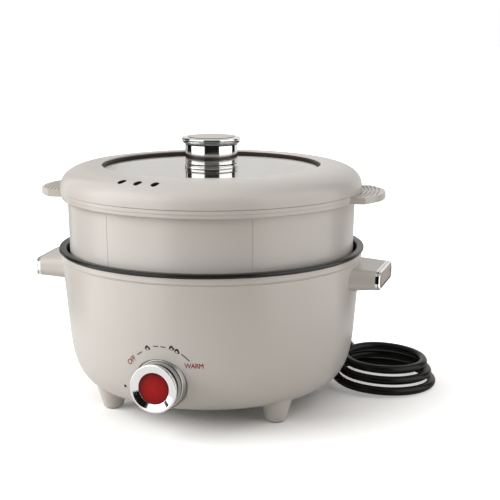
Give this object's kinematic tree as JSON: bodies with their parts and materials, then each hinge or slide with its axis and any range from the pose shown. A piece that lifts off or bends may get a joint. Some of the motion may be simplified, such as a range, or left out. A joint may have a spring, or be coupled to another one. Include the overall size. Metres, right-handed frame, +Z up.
{
  "type": "electric hot pot",
  "caption": "Round electric hot pot with a front control knob, side handles, a lift-out steamer tier, a domed lid with a glass window and a knob, and a coiled mains cord.",
  "frame": {"origin": "on the table under the pot's axis", "axes": "+Z up, -Y towards the control knob, +X to within 7 degrees towards the handle on the right as seen from the knob's side"},
  "size_m": [0.3606, 0.3562, 0.2445],
  "materials": {
    "shell_plastic": "satin moulded polypropylene, warm light grey",
    "pot_coating": "dark non-stick coating on die-cast aluminium",
    "black_rubber": "matt black rubber",
    "cord_sheath": "satin black cable sheath",
    "brown_silicone": "dark brown silicone",
    "bare_aluminium": "bare aluminium",
    "steel": "plain zinc-plated steel",
    "black_plastic": "black moulded plastic",
    "pale_plastic": "pale moulded plastic",
    "satin_metal": "satin metallised plastic",
    "chrome": "bright chrome plating",
    "red_lens": "glossy translucent red plastic",
    "taupe_plastic": "taupe moulded plastic",
    "inlay_plastic": "warm grey moulded plastic",
    "wire_brown": "brown wire insulation",
    "wire_blue": "blue wire insulation",
    "wire_red": "red wire insulation",
    "brass": "bright brass",
    "clear_glass": "clear tempered glass"
  },
  "bodies": {
    "base": {"housing": "shell_plastic", "base_cover": "shell_plastic", "foot_front_left": "shell_plastic", "foot_front_right": "shell_plastic", "foot_rear_right": "shell_plastic", "foot_rear_left": "shell_plastic", "handle_left": "shell_plastic", "handle_right": "shell_plastic", "inner_pot": "pot_coating", "rim_seal": "black_rubber", "foot_pads": "black_rubber", "strain_relief": "black_rubber", "cord_lead": "cord_sheath", "cord_coil": "cord_sheath", "cord_tail": "cord_sheath", "plug_body": "cord_sheath", "heat_plate": "bare_aluminium", "heat_shield": "bare_aluminium", "heating_element": "steel", "pot_stud": "steel", "stud_spacer": "steel", "stud_nut": "steel", "base_cover_screws": "steel", "foot_screws": "steel", "handle_screws": "steel", "switch_nut": "steel", "thermostat": "black_plastic", "rotary_switch": "black_plastic", "thermal_fuse": "pale_plastic", "terminal_block": "pale_plastic", "dial_ring": "satin_metal", "handle_frame_left": "chrome", "handle_frame_right": "chrome", "pilot_lamp": "red_lens", "handle_insert_left": "taupe_plastic", "handle_insert_right": "taupe_plastic", "wire_live": "wire_brown", "wire_neutral": "wire_blue", "wire_heater": "wire_red", "plug_pins": "brass"},
    "knob": {"switch_shaft": "steel", "knob": "satin_metal", "knob_bezel": "chrome", "knob_lens": "red_lens"},
    "steamer": {"steamer_basket": "shell_plastic", "steam_plate": "shell_plastic"},
    "lid": {"lid_ring": "shell_plastic", "lid_glass": "clear_glass", "lid_gasket": "brown_silicone", "lid_under_ring": "shell_plastic", "lid_screws": "steel", "lid_knob": "chrome", "lid_knob_inlay": "inlay_plastic", "lid_knob_screw": "steel", "lid_knob_washer": "steel"}
  },
  "joints": [
    {"name": "knob_turn", "type": "hinge", "parent": "base", "child": "knob", "pos_m": [0, -0.13, 0.0475], "axis": [0, 1, 0], "range_deg": [0, 115]},
    {"name": "steamer_lift", "type": "slide", "parent": "base", "child": "steamer", "axis": [0, 0, 1], "range_m": [0, 0.12]},
    {"name": "lid_lift", "type": "slide", "parent": "steamer", "child": "lid", "axis": [0, 0, 1], "range_m": [0, 0.12]}
  ]
}
